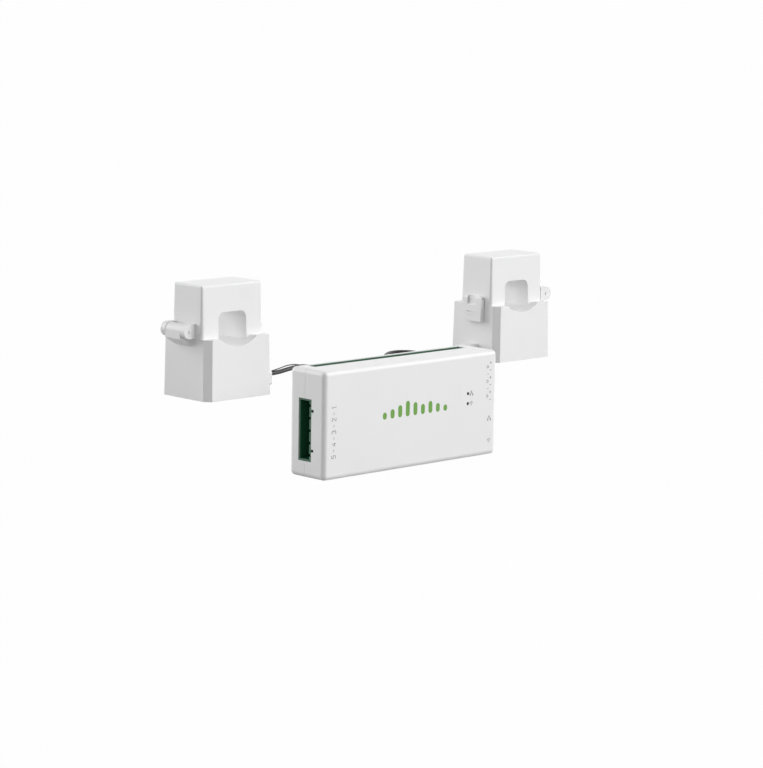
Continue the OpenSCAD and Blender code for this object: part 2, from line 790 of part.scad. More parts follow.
module case_screws() {
  color(tin) for (b = bosses) difference() {
    union() {
      bar_y(b[0], b[1], screw_r, head_seat_y - screw_len, head_seat_y);
      bar_y(b[0], b[1], head_r, head_seat_y, head_seat_y + head_t);
    }
    for (arm = [[head_cross_w, head_cross_len], [head_cross_len, head_cross_w]])
      span([b[0] - arm[0] / 2, head_seat_y + head_t - head_cross_deep, b[1] - arm[1] / 2],
           [b[0] + arm[0] / 2, head_seat_y + head_t + cut, b[1] + arm[1] / 2]);
  }
}

// Outline of the lower body at the joint, drawn in by an inset
module clamp_outline(inset) {
  x = clamp_x - inset;
  y = clamp_d / 2 - inset;
  c = clamp_bevel - inset * (2 - sqrt(2));
  polygon([[-x, -y + c], [-x + c, -y], [x, -y], [x, y - c], [x - c, y], [-x, y]]);
}

// The conductor's saddle, drawn out by a wall; under the cap it is as wide as the window
module saddle(wall) {
  intersection() {
    bar_y(0, saddle_z, saddle_r + wall, -clamp_d, clamp_d);
    union() {
      span([-window_w / 2 - wall, -clamp_d, 0], [window_w / 2 + wall, clamp_d, joint_z + cut]);
      for (m = [0, 1]) mirror([0, m, 0])
        span([-clamp_x, cap_d / 2 - wall / 2, 0], [clamp_x, clamp_d, joint_z + cut]);
    }
  }
}

// A slab across the lower body at a turn about the upright, its sides leaning in up to the joint
module leaning_slab(turn, half, lean) {
  rotate([90, 0, turn]) linear_extrude(2 * clamp_w, center = true)
    polygon([[-half - lean, 0], [half + lean, 0], [half, joint_z], [-half, joint_z]]);
}

// Outside of the lower body, with two opposite upright edges bevelled
module clamp_block() {
  intersection() {
    leaning_slab(0, clamp_x, clamp_draft);
    leaning_slab(90, clamp_d / 2, clamp_draft);
    leaning_slab(45, (clamp_x + clamp_d / 2 - clamp_bevel) / sqrt(2), clamp_draft * sqrt(2));
  }
}

module clamp_body() {
  color(white_plastic) difference() {
    union() {
      difference() {
        clamp_block();
        translate([0, 0, -cut]) linear_extrude(joint_z - clamp_wall + cut) clamp_outline(clamp_wall);
      }
      intersection() {
        clamp_block();
        saddle(clamp_wall);
      }
      hinge_knuckle();
      latch_catch();
    }
    saddle(0);
    for (s = [-1, 1]) {
      x = s * (leg_x0 + leg_x1) / 2;
      half = (leg_x1 - leg_x0) / 2 + core_gap;
      span([x - half, -core_d / 2 - core_gap, joint_z - clamp_wall - cut],
           [x + half, core_d / 2 + core_gap, joint_z + cut]);
    }
    bar_y(hinge_x, hinge_z, hinge_pin_r, hinge_y0, hinge_y1);
    outlet_hole();
  }
}

// Middle knuckle of the hinge on its gusset
module hinge_knuckle() {
  y0 = hinge_y0 + lug_w + hinge_gap;
  y1 = hinge_y1 - lug_w - hinge_gap;
  bar_y(hinge_x, hinge_z, knuckle_r, y0, y1);
  translate([0, y1, 0]) rotate([90, 0, 0]) linear_extrude(y1 - y0)
    polygon([
      [hinge_x - knuckle_r, hinge_z], [hinge_x + knuckle_r, hinge_z],
      [-clamp_x - hinge_gap, joint_z - hinge_gap], [-clamp_x, joint_z - hinge_gap],
      [-clamp_x, joint_z - gusset_drop], [hinge_x - knuckle_r, joint_z]
    ]);
}

// Catch under the latch bar; its face leans out along the path of the bar
module latch_catch() {
  x0 = latch_x0 + catch_hold;
  x1 = x0 + catch_rake * (catch_z1 - catch_z0);
  translate([0, catch_w / 2, 0]) rotate([90, 0, 0]) linear_extrude(catch_w)
    polygon([[clamp_x, catch_z0], [x0, catch_z0], [x1, catch_z1], [clamp_x, catch_z1]]);
}

// Hole for the lead outlet's neck in the latch end
module outlet_hole() {
  span([clamp_x - clamp_wall - cut, -outlet_w / 2 + outlet_edge_r, outlet_z - outlet_h / 2],
       [clamp_x + clamp_draft + cut, outlet_w / 2 - outlet_edge_r, outlet_z + lead_r]);
}

module base_cover() {
  color(white_plastic) {
    linear_extrude(base_t) clamp_outline(clamp_wall + cover_gap);
    for (s = [-1, 1])
      translate([s * (leg_x0 + leg_x1) / 2, 0, base_t / 2 + lower_yoke_z / 2])
        cube([post_w, post_d, lower_yoke_z - base_t], center = true);
  }
}

// A U of core: two legs from z0 to z1 and a yoke at one end
module core_half(z0, z1, yoke_z) {
  color(dark_ferrite) {
    for (s = [-1, 1])
      translate([s * (leg_x0 + leg_x1) / 2, 0, (z0 + z1) / 2])
        cube([leg_x1 - leg_x0, core_d, z1 - z0], center = true);
    span([-leg_x1, -core_d / 2, yoke_z], [leg_x1, core_d / 2, yoke_z + core_yoke]);
  }
}

module lower_core() core_half(lower_yoke_z, joint_z - pole_gap, lower_yoke_z);

module upper_core() core_half(joint_z + pole_gap, upper_yoke_z + core_yoke, upper_yoke_z);

// A square sleeve round the lower yoke, drawn out by a wall, from x0 to x1
module yoke_sleeve(wall, x0, x1) {
  span([x0, -core_d / 2 - core_gap - wall, lower_yoke_z - core_gap - wall],
       [x1, core_d / 2 + core_gap + wall, lower_yoke_z + core_yoke + core_gap + wall]);
}

module bobbin() {
  color("#3A3B3D") difference() {
    union() {
      yoke_sleeve(bobbin_wall, -bobbin_x, bobbin_x);
      for (s = [-1, 1])
        yoke_sleeve(bobbin_wall + winding_t + bobbin_lip, s > 0 ? bobbin_x - bobbin_flange : -bobbin_x,
                    s > 0 ? bobbin_x : -bobbin_x + bobbin_flange);
    }
    yoke_sleeve(0, -bobbin_x - cut, bobbin_x + cut);
  }
}

module winding() {
  color(copper) difference() {
    yoke_sleeve(bobbin_wall + winding_t, -bobbin_x + bobbin_flange, bobbin_x - bobbin_flange);
    yoke_sleeve(bobbin_wall, -bobbin_x, bobbin_x);
  }
}

// Block-shaped lead outlet, with a neck through the end wall
module lead_outlet() {
  neck_half = outlet_w / 2 - outlet_edge_r - outlet_gap;
  color(white_plastic) {
    translate([outlet_x0 + outlet_len / 2, 0, outlet_mid]) rotate([0, 90, 0])
      linear_extrude(outlet_len, center = true) rounded_rect(outlet_h, outlet_w, outlet_edge_r);
    span([clamp_x - clamp_wall, -neck_half, outlet_z - outlet_h / 2 + outlet_gap],
         [outlet_x0, neck_half, outlet_z + lead_r - outlet_gap]);
  }
}

module hinge_pin() {
  color(tin) bar_y(hinge_x, hinge_z, hinge_pin_r, hinge_y0 - pin_proud, hinge_y1 + pin_proud);
}

// The window's arch through the cap, drawn out by a wall
module window_arch(wall) {
  half = window_w / 2 + wall;
  r = window_r + wall;
  top = joint_z + window_h + wall;
  span([-half, -cap_d, joint_z - cut], [half, cap_d, top - r]);
  span([-half + r, -cap_d, joint_z - cut], [half - r, cap_d, top]);
  for (s = [-1, 1]) bar_y(s * (half - r), top - r, r, -cap_d, cap_d);
}

// Face of the cap on the joint: leaning sides and round top corners
module cap_face(half) {
  a = atan(cap_draft / cap_h);
  r = cap_edge_r;
  x = half - cap_draft - r * (1 - sin(a)) / cos(a);
  side = [x + r * cos(a), cap_h - r + r * sin(a)];
  polygon([[-half, 0], [half, 0], side, [x, cap_h], [-x, cap_h], [-side[0], side[1]]]);
  for (s = [-1, 1]) translate([s * x, cap_h - r]) circle(r);
}

// Outside of the cap: leaning faces both ways, with tapered posts, a little proud, for its upright edges
module cap_block() {
  r = cap_edge_r + cap_draft;
  translate([0, 0, joint_z]) intersection() {
    rotate([90, 0, 0]) linear_extrude(cap_d, center = true) cap_face(clamp_x);
    rotate([90, 0, 90]) linear_extrude(clamp_w, center = true) cap_face(cap_d / 2);
    union() {
      span([-clamp_x, -cap_d / 2 + r, 0], [clamp_x, cap_d / 2 - r, cap_h]);
      span([-clamp_x + r, -cap_d / 2, 0], [clamp_x - r, cap_d / 2, cap_h]);
      for (x = [-1, 1], y = [-1, 1])
        translate([x * (clamp_x - r), y * (cap_d / 2 - r), 0])
          cylinder(r1 = r + post_over, r2 = cap_edge_r + post_over, h = cap_h);
    }
  }
}

module cap() {
  color(white_plastic) difference() {
    union() {
      difference() {
        cap_block();
        difference() {
          span([-clamp_x + clamp_wall, -cap_d / 2 + clamp_wall + cap_draft, joint_z - cut],
               [clamp_x - clamp_wall, cap_d / 2 - clamp_wall - cap_draft, cap_top - clamp_wall]);
          window_arch(clamp_wall);
        }
      }
      for (y = [hinge_y0, hinge_y1 - lug_w]) {
        bar_y(hinge_x, hinge_z, lug_r, y, y + lug_w);
        span([hinge_x, y, joint_z + hinge_gap], [-clamp_x + clamp_wall / 2, y + lug_w, hinge_z + lug_r]);
      }
      span([clamp_x - clamp_wall / 2, -latch_knuckle_w / 2, joint_z + latch_gap],
           [latch_lug_x1, latch_knuckle_w / 2, latch_pin_z + latch_lug_up]);
    }
    window_arch(0);
    bar_y(hinge_x, hinge_z, hinge_pin_r + pin_clear, hinge_y0 - cut, hinge_y1 + cut);
    bar_y(latch_pin_x, latch_pin_z, latch_pin_r, -latch_w, latch_w);
  }
}

// Bowed leaf between the upper yoke and the cap's roof
module core_spring() {
  z0 = upper_yoke_z + core_yoke;
  z1 = cap_top - clamp_wall;
  end = leg_x1 - spring_inset;
  bend = end / 2;
  half = spring_t / 2;
  color(tin) translate([0, core_d / 4, 0]) rotate([90, 0, 0]) linear_extrude(core_d / 2)
    polygon([
      [-end, z0], [-bend, z0], [-spring_crown, z1 - spring_t],
      [spring_crown, z1 - spring_t], [bend, z0], [end, z0],
      [end, z0 + spring_t], [bend + half, z0 + spring_t], [spring_crown + half, z1],
      [-spring_crown - half, z1], [-bend - half, z0 + spring_t], [-end, z0 + spring_t]
    ]);
}

module latch_pin() color(tin) bar_y(latch_pin_x, latch_pin_z, latch_pin_r, -latch_w / 2, latch_w / 2);

// Latch: two arms on the pin, joined by a bar that hooks under the catch and by a skin over it;
// each grip line is [drop below the joint, height, depth]
module latch() {
  x1 = latch_x0 + latch_t;
  z0 = joint_z - latch_drop;
  inner = latch_w / 2 - latch_arm_w;
  color(white_plastic) difference() {
    union() {
      for (y = [-latch_w / 2, latch_w / 2 - latch_arm_w]) {
        bar_y(latch_x0 + latch_t / 2, latch_pin_z, latch_t / 2, y, y + latch_arm_w);
        span([latch_x0, y, z0], [x1, y + latch_arm_w, latch_pin_z]);
      }
      span([latch_x0, -latch_w / 2, z0], [x1, latch_w / 2, latch_bar_z]);
      translate([0, inner, 0]) rotate([90, 0, 0]) linear_extrude(2 * inner)
        polygon([
          [x1 - latch_skin, latch_bar_z], [x1, latch_bar_z],
          [x1, joint_z + latch_skin_rise - latch_skin], [x1 - latch_skin, joint_z + latch_skin_rise]
        ]);
    }
    bar_y(latch_pin_x, latch_pin_z, latch_pin_r + pin_clear, -latch_w, latch_w);
    for (g = grip_lines)
      span([x1 - g[2], -inner, joint_z - g[0] - g[1] / 2], [x1 + cut, inner, joint_z - g[0] + g[1] / 2]);
  }
}

module in_left_place() translate(left_place) children();

module in_right_place() translate(right_place) rotate([0, 0, 180]) children();

module lead_tube(path, sides) {
  color("#2A2A2B")
    polyhedron(tube_points(path, lead_r, sides), tube_faces(len(path), sides), convexity = 10);
}

// Flat tie round a coil's bundle of turns
module coil_tie(place, r_out, turns) {
  r0 = r_out - coil_pitch * (turns[0] + 0.25) - lead_r - tie_gap;
  r1 = r_out + lead_r + tie_gap;
  z1 = coil_z1 + lead_r + tie_gap;
  color("#E8E8E4") translate([place[0], place[1], 0]) rotate([0, 0, tie_angle]) difference() {
    span([r0 - tie_t, -tie_w / 2, 0], [r1 + tie_t, tie_w / 2, z1 + tie_t]);
    span([r0, -tie_w, tie_t], [r1, tie_w, z1]);
  }
}

// Where a lead's coil ends, and the turn of the plug that meets it there
function coil_end(path) = path[len(path) - 1];
function coil_end_turn(path) = let (h = heading(path, len(path) - 1)) atan2(h[1], h[0]);

module at_plug(path) {
  e = coil_end(path);
  translate([e[0], e[1], 0]) rotate([0, 0, coil_end_turn(path)]) children();
}

// Two-way plug, wire entry at its own origin and mating face along +X
module plug() {
  color(header_green) difference() {
    union() {
      span([0, -plug_w / 2, 0], [plug_body, plug_w / 2, plug_h]);
      span([plug_body, -plug_w / 2 + plug_key, plug_nose_z0],
           [plug_len, plug_w / 2 - plug_key, plug_nose_z1]);
    }
    for (y = [-plug_w / 4, plug_w / 4]) {
      translate([plug_body / 2, y, plug_h - plug_screw_sunk])
        cylinder(r = plug_screw_r + plug_screw_gap, h = plug_screw_sunk + cut);
      span([plug_len - plug_hole_deep, y - plug_hole / 2, plug_h / 2 - plug_hole / 2],
           [plug_len + cut, y + plug_hole / 2, plug_h / 2 + plug_hole / 2]);
    }
  }
}

module plug_screw_pair() {
  slot = plug_screw_slot;
  color(tin) for (y = [-plug_w / 4, plug_w / 4])
    translate([plug_body / 2, y, plug_h - plug_screw_sunk]) difference() {
      cylinder(r = plug_screw_r, h = plug_screw_h);
      span([-plug_screw_r - cut, -slot[0] / 2, plug_screw_h - slot[1]],
           [plug_screw_r + cut, slot[0] / 2, plug_screw_h + cut]);
    }
}

module plug_screws() {
  at_plug(left_coil_path) plug_screw_pair();
  at_plug(right_coil_path) plug_screw_pair();
}

front_shell();
rear_shell();
main_board();
power_header();
power_pins();
branch_header();
branch_pins();
clamp_port_header();
clamp_port_pins();
network_jack();
network_contacts();
aerial_connector();
light_pipes();
status_lights();
supply_transformer();
capacitors();
surge_absorbers();
radio_module();
metering_chip();
sense_resistors();
case_screws();
in_left_place() clamp_body();  // left_clamp_body
in_left_place() base_cover();  // left_base_cover
in_left_place() lower_core();  // left_lower_core
in_left_place() bobbin();  // left_bobbin
in_left_place() winding();  // left_winding
in_left_place() lead_outlet();  // left_lead_outlet
in_left_place() hinge_pin();  // left_hinge_pin
in_left_place() cap();  // left_cap
in_left_place() upper_core();  // left_upper_core
in_left_place() core_spring();  // left_core_spring
in_left_place() latch_pin();  // left_latch_pin
in_left_place() latch();  // left_latch
in_right_place() clamp_body();  // right_clamp_body
in_right_place() base_cover();  // right_base_cover
in_right_place() lower_core();  // right_lower_core
in_right_place() bobbin();  // right_bobbin
in_right_place() winding();  // right_winding
in_right_place() lead_outlet();  // right_lead_outlet
in_right_place() hinge_pin();  // right_hinge_pin
in_right_place() cap();  // right_cap
in_right_place() upper_core();  // right_upper_core
in_right_place() core_spring();  // right_core_spring
in_right_place() latch_pin();  // right_latch_pin
in_right_place() latch();  // right_latch
lead_tube(left_route, 8);  // left_lead
lead_tube(left_coil_path, 6);  // left_lead_coil
coil_tie(left_coil_place, left_coil_r, left_coil_turns);  // left_coil_tie
at_plug(left_coil_path) plug();  // left_plug
lead_tube(right_route, 8);  // right_lead
lead_tube(right_coil_path, 6);  // right_lead_coil
coil_tie(right_coil_place, right_coil_r, right_coil_turns);  // right_coil_tie
at_plug(right_coil_path) plug();  // right_plug
plug_screws();
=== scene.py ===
# Smart energy monitor with its current clamps: a flat white box with green terminal
# sockets, and split-core clamps on twisted leads that stand behind it.
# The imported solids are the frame; lengths below are millimetres, meshes are metres.
import bpy
import numpy as np
from mathutils import Matrix


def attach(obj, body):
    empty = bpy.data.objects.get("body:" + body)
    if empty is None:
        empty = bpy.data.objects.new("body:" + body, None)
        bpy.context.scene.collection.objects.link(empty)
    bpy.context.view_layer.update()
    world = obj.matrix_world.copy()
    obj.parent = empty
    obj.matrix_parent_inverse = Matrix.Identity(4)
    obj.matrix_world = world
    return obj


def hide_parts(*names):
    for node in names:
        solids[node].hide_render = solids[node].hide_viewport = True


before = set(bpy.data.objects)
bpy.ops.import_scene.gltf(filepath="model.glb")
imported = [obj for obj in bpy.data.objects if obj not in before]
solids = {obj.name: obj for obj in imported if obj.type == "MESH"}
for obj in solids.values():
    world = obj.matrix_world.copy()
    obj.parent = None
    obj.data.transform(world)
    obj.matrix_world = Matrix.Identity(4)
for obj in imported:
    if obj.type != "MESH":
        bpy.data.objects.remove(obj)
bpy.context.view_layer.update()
bpy.context.scene.view_settings.view_transform = "Standard"

# Camera: a long lens, left in front of the monitor and a little above it, level but for
# a small roll. Place and turn come from the box's straight edges in the 763 x 768 picture.
yaw, pitch, roll = np.radians([43.9059, 9.0651, 0.8827])
ahead = np.array([np.sin(yaw) * np.cos(pitch), np.cos(yaw) * np.cos(pitch), -np.sin(pitch)])
level = np.array([np.cos(yaw), -np.sin(yaw), 0.0])
upright = np.cross(level, ahead)
camera_right = level * np.cos(roll) + upright * np.sin(roll)
camera_up = upright * np.cos(roll) - level * np.sin(roll)
camera = bpy.data.objects.new("camera", bpy.data.cameras.new("camera"))
camera.data.lens, camera.data.sensor_width = 133.2, 36.0
camera.data.clip_start, camera.data.clip_end = 0.05, 100.0
turn = np.eye(4)
turn[:3, 0], turn[:3, 1], turn[:3, 2] = camera_right, camera_up, -ahead
turn[:3, 3] = np.array([-1215.818, -1250.353, 328.517]) / 1000
camera.matrix_world = Matrix(turn.tolist())
bpy.context.scene.collection.objects.link(camera)
bpy.context.scene.camera = camera

# Leads: a thick black PVC wire with a thinner one twisted loosely round it, moulded into
# the clamp's outlet and clamped in a two-way plug. The spare length is coiled and tied.
# Each wire has a radius, a distance from the lead's line and how far it bows out by the clamp.
WIRES = [(0.42, 1.63, 0.6), (1.6, -0.4, -0.15)]
WIRE_SIDES = 14
TWIST_LAY, TWIST_START, BOW_END = 120.0, 0.94, 46.0
FLOOR_Z = 2.05
COIL_Z = 3.1
COIL_PITCH = 4.6


def linear(code):
    """sRGB hex colour as linear RGBA: the low end is a straight line, the rest a 2.4 power."""
    c = np.array([int(code[i:i + 2], 16) for i in (1, 3, 5)]) / 255
    return (*np.where(c <= 0.04045, c / 12.92, ((c + 0.055) / 1.055) ** 2.4).tolist(), 1.0)


def add(tree, kind, settings, links=()):
    """One shader node with its sockets or properties set by name, and (socket, node, output) links."""
    made = tree.nodes.new(kind)
    for name, value in settings.items():
        if name in made.inputs:
            made.inputs[name].default_value = value
        else:
            setattr(made, name, value)
    for socket, other, output in links:
        tree.links.new(other.outputs[output], made.inputs[socket])
    return made


def moulded(name, colour, shade, roughness, ior, grain, depth):
    """A moulded plastic: two close tones mixed by a slow cloud, and a fine pitted grain of `grain` mm
    that stands `depth` mm deep, as spark erosion leaves on the mould."""
    material = bpy.data.materials.new(name)
    material.use_nodes = True
    tree = material.node_tree
    tree.nodes.clear()
    place = add(tree, "ShaderNodeTexCoord", {})
    cloud = add(tree, "ShaderNodeTexNoise", {"Scale": 1000 / 22, "Detail": 3.0}, [("Vector", place, "Object")])
    pits = add(tree, "ShaderNodeTexNoise", {"Scale": 1000 / grain, "Detail": 2.0}, [("Vector", place, "Object")])
    tone = add(tree, "ShaderNodeMix", {"data_type": "RGBA"}, [("Factor", cloud, "Fac")])
    tone.inputs[6].default_value, tone.inputs[7].default_value = linear(colour), linear(shade)
    gloss = add(tree, "ShaderNodeMapRange", {"To Min": roughness - 0.05, "To Max": roughness + 0.05},
                [("Value", cloud, "Fac")])
    bump = add(tree, "ShaderNodeBump", {"Strength": 0.5, "Distance": depth / 1000}, [("Height", pits, "Fac")])
    skin = add(tree, "ShaderNodeBsdfPrincipled", {"IOR": ior},
               [("Roughness", gloss, "Result"), ("Normal", bump, "Normal")])
    tree.links.new(tone.outputs[2], skin.inputs["Base Color"])
    add(tree, "ShaderNodeOutputMaterial", {}, [("Surface", skin, "BSDF")])
    return material


# Flexible PVC: softer gloss than a hard moulding, with a faint drawn grain.
black_pvc = moulded("black_pvc_cover", "#121213", "#1A1A1B", 0.38, 1.48, 1.2, 0.02)


def drawn_through(points, step):
    """Centreline through the points: a Catmull-Rom curve sampled at even steps of its length."""
    p = np.vstack([2 * points[0] - points[1], points, 2 * points[-1] - points[-2]])
    a, b, c, d = (p[i:len(p) - 3 + i, None] for i in range(4))
    t = np.linspace(0, 1, 16, endpoint=False)[:, None]
    dense = b + 0.5 * t * (c - a + t * (2 * a - 5 * b + 4 * c - d + t * (3 * (b - c) + d - a)))
    dense = np.vstack([dense.reshape(-1, 3), points[-1]])
    run = np.r_[0, np.cumsum(np.linalg.norm(np.diff(dense, axis=0), axis=1))]
    along = np.linspace(0, run[-1], int(run[-1] / step) + 1)
    return np.stack([np.interp(along, run, dense[:, k]) for k in range(3)], 1), along


def coil(place, r_out, turns):
    """A two-layer coil: the radius shrinks by a pitch a turn, rises half a turn, and grows again."""
    i = np.arange(int(24 * 2 * turns) + 13)
    n_in = 24 * turns
    a = np.radians(90 + 15 * i)
    r = r_out - COIL_PITCH * (n_in + 6 - np.abs(i - n_in - 6)) / 24
    z = COIL_Z + COIL_PITCH * np.clip((i - n_in) / 12, 0, 1)
    turned = np.stack([place[0] + r * np.cos(a), place[1] + r * np.sin(a), z], 1)
    out = np.array([-np.sin(a[-1]), np.cos(a[-1]), 0])
    return np.vstack([turned, turned[-1] + 4 * out, turned[-1] + 13 * out, turned[-1] + 22 * out])


def surface(name, grids, material, closed=True):
    """One mesh from grids of rings: neighbouring rings are joined by quads, closed round each ring.
    Ends are closed by a face when `closed`."""
    points, faces, start = [], [], 0
    for grid in grids:
        n, m = grid.shape[:2]
        k = np.arange(n * m).reshape(n, m) + start
        around = np.roll(k, -1, axis=1)
        faces += np.stack([k[:-1], k[1:], around[1:], around[:-1]], -1).reshape(-1, 4).tolist()
        if closed:
            faces += [k[0].tolist(), k[-1, ::-1].tolist()]
        points.append(grid.reshape(-1, 3))
        start += n * m
    mesh = bpy.data.meshes.new(name)
    mesh.from_pydata(np.vstack(points) / 1000, [], faces)
    mesh.polygons.foreach_set("use_smooth", [True] * len(faces))
    mesh.set_sharp_from_angle(angle=np.radians(42))
    mesh.materials.append(material)
    mesh.update()
    piece = bpy.data.objects.new(name, mesh)
    bpy.context.scene.collection.objects.link(piece)
    return piece


def twisted_pair(name, line, along):
    """Two round wires on opposite sides of the line, each at its own distance, carried along it and
    turned once in each lay of the twist. By the clamp they part by a half sine wave."""
    way = np.gradient(line, axis=0)
    way /= np.linalg.norm(way, axis=1)[:, None]
    side = np.cross(way, [0, 0, 1.0])
    side /= np.linalg.norm(side, axis=1)[:, None]
    above = np.cross(side, way)
    ring = np.linspace(0, 2 * np.pi, WIRE_SIDES, endpoint=False)[None, :, None]
    round_it = np.cos(ring) * side[:, None] + np.sin(ring) * above[:, None]
    wires = []
    spin = (2 * np.pi * along / TWIST_LAY + TWIST_START)[:, None]
    parting = np.sin(np.pi * np.clip(along / BOW_END, 0, 1))[:, None]
    for radius, offset, bow in WIRES:
        core = line + (offset + bow * parting) * (np.cos(spin) * side + np.sin(spin) * above)
        wires.append(core[:, None] + radius * round_it)
    return surface(name, wires, black_pvc)


f = FLOOR_Z
lead_routes = {
    "left": [
        [134.755, 272, 10.6], [138.755, 272, 10.6], [147, 272.1, 11.2], [154, 272.5, 12.1], [161, 273.1, 12.6],
        [168, 274, 12.5], [176, 275, 11.4], [184, 276, 9.5], [192, 277, 7.3], [200, 278.2, 5.1],
        [208, 279.8, 3.4], [216, 282, 2.4], [225, 285, f], [234, 288.4, f], [243, 292.2, f], [252, 296.2, f],
        [261, 300.2, f], [270, 304, f], [279, 307.8, f], [287.6, 312.2, f], [295.6, 317.6, f], [303.4, 323.4, f],
        [312, 328.2, f], [321.2, 328.8, f], [328.4, 323.8, f], [331.4, 315.6, f], [330.8, 306.8, f],
        [327.2, 298.8, f], [320.8, 292.6, f], [312.4, 288.6, f], [302.8, 286.6, f], [293, 285.8, f],
        [283.2, 285.2, f], [273.6, 284.2, f], [264.8, 282.2, 2.2], [256, 280.2, 2.7], [246, 279.5, COIL_Z],
    ],
    "right": [
        [332.745, 274.5, 10.6], [328.745, 274.5, 10.6], [320.5, 273.9, 10], [313.5, 272, 8.6], [307.4, 268, 6.4],
        [302.8, 262, 4.2], [299.6, 254.6, 2.6], [296.8, 246.6, f], [294, 238, f], [290.2, 229.6, f],
        [285, 222, f], [278.2, 215.6, f], [270, 210.6, f], [261, 207, f], [251.6, 204.2, f], [242, 201.8, f],
        [232.4, 199.6, f], [222.8, 197.8, 2.3], [213, 196.8, 2.8], [203, 196.5, COIL_Z],
    ],
}
coils = {"left": ((238, 254), 25.5, 2.5), "right": ((195, 168), 28.5, 2.75)}

# Coil ties: a flat plastic-coated strip, bent square round the bundle of turns.
# Each is one band with round corners and softened edges.
tie_strip = moulded("coated_tie_strip", "#E9E9E5", "#DDDDD8", 0.45, 1.5, 0.9, 0.03)
TIE_T, TIE_W, TIE_GAP = 0.8, 4.0, 0.3


def tie_band(name, place, r_out, turns):
    """A band: a strip section with round edges carried round a rectangle with round corners,
    in the upright plane through the coil's axis at 200 degrees."""
    r0 = r_out - COIL_PITCH * (turns + 0.25) - 2 - TIE_GAP - TIE_T / 2
    r1 = r_out + 2 + TIE_GAP + TIE_T / 2
    z0, z1 = TIE_T / 2, COIL_Z + COIL_PITCH + 2 + TIE_GAP + TIE_T / 2
    bend = 1.4
    a = np.linspace(0, 2 * np.pi, 64, endpoint=False)
    corner = np.sign(np.cos(a)), np.sign(np.sin(a))
    radial = (r0 + r1) / 2 + corner[0] * ((r1 - r0) / 2 - bend) + bend * np.cos(a)
    height = (z0 + z1) / 2 + corner[1] * ((z1 - z0) / 2 - bend) + bend * np.sin(a)
    v = np.linspace(0, 2 * np.pi, 12, endpoint=False)
    flat = TIE_W / 2 * np.sign(np.cos(v)) * np.abs(np.cos(v)) ** 0.35
    thick = TIE_T / 2 * np.sign(np.sin(v)) * np.abs(np.sin(v)) ** 0.6
    rr = radial[:, None] + np.cos(a)[:, None] * thick[None]
    zz = height[:, None] + np.sin(a)[:, None] * thick[None]
    ww = np.broadcast_to(flat, rr.shape)
    c, s = np.cos(np.radians(200)), np.sin(np.radians(200))
    loop = np.stack([place[0] + rr * c - ww * s, place[1] + rr * s + ww * c, zz], -1)
    return surface(name, [np.concatenate([loop, loop[:1]])], tie_strip, closed=False)


WIRE_STEP, LEAD_LENGTH = 1.0, 1.0
for side, (place, r_out, turns) in coils.items():
    route = np.vstack([np.array(lead_routes[side], float), coil(place, r_out, turns)])
    line, along = drawn_through(route, WIRE_STEP)
    lead = twisted_pair(f"{side}_twisted_lead", line, along)
    tie = tie_band(f"{side}_tie_band", place, r_out, turns)
    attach(lead, "root")
    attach(tie, "root")
    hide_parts(f"{side}_lead", f"{side}_lead_coil")
    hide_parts(f"{side}_coil_tie")

# Plugs and headers: glass-filled PBT, moulded in one dark green, with sharp narrow
# walls. The plug on each lead's end has a screw over each wire.
green_pbt = moulded("green_pbt", "#1F5A3D", "#1A5036", 0.4, 1.57, 0.7, 0.03)


def finished(names, material, edge=0.0):
    """Gives solids their material, and rounds their sharp edges by `edge` mm, as a mould's corners are."""
    for name in names:
        solids[name].material_slots[0].material = material
        if edge:
            weld = solids[name].modifiers.new("weld", "WELD")
            weld.merge_threshold = 2e-6
            flat = solids[name].modifiers.new("flat faces", "DECIMATE")
            flat.decimate_type, flat.angle_limit = "DISSOLVE", np.radians(0.4)
            bevel = solids[name].modifiers.new("edge", "BEVEL")
            bevel.width, bevel.segments = edge / 1000, 2
            bevel.limit_method, bevel.angle_limit = "ANGLE", np.radians(35)
            solids[name].modifiers.new("shading", "WEIGHTED_NORMAL")


HEADER_EDGE = 0.15
finished(["left_plug", "right_plug", "power_header", "branch_header", "clamp_port_header"], green_pbt, HEADER_EDGE)


def plated(name, colour, shade, roughness, grain):
    """A plated or bright metal: two close tones and a roughness that follow a fine grain of `grain` mm."""
    material = bpy.data.materials.new(name)
    material.use_nodes = True
    tree = material.node_tree
    tree.nodes.clear()
    place = add(tree, "ShaderNodeTexCoord", {})
    fine = add(tree, "ShaderNodeTexNoise", {"Scale": 1000 / grain, "Detail": 3.0}, [("Vector", place, "Object")])
    tone = add(tree, "ShaderNodeMix", {"data_type": "RGBA"}, [("Factor", fine, "Fac")])
    tone.inputs[6].default_value, tone.inputs[7].default_value = linear(colour), linear(shade)
    gloss = add(tree, "ShaderNodeMapRange", {"To Min": roughness - 0.08, "To Max": roughness + 0.08},
                [("Value", fine, "Fac")])
    bump = add(tree, "ShaderNodeBump", {"Strength": 0.4, "Distance": 0.00001}, [("Height", fine, "Fac")])
    skin = add(tree, "ShaderNodeBsdfPrincipled", {"Metallic": 1.0},
               [("Roughness", gloss, "Result"), ("Normal", bump, "Normal")])
    tree.links.new(tone.outputs[2], skin.inputs["Base Color"])
    add(tree, "ShaderNodeOutputMaterial", {}, [("Surface", skin, "BSDF")])
    return material


# Zinc-plated steel screws: pale, a little blue, with the fine grain of tumbling.
zinc_steel = plated("zinc_plated_steel", "#BFC2C5", "#A9ACB0", 0.34, 0.8)
finished(["plug_screws", "case_screws"], zinc_steel)

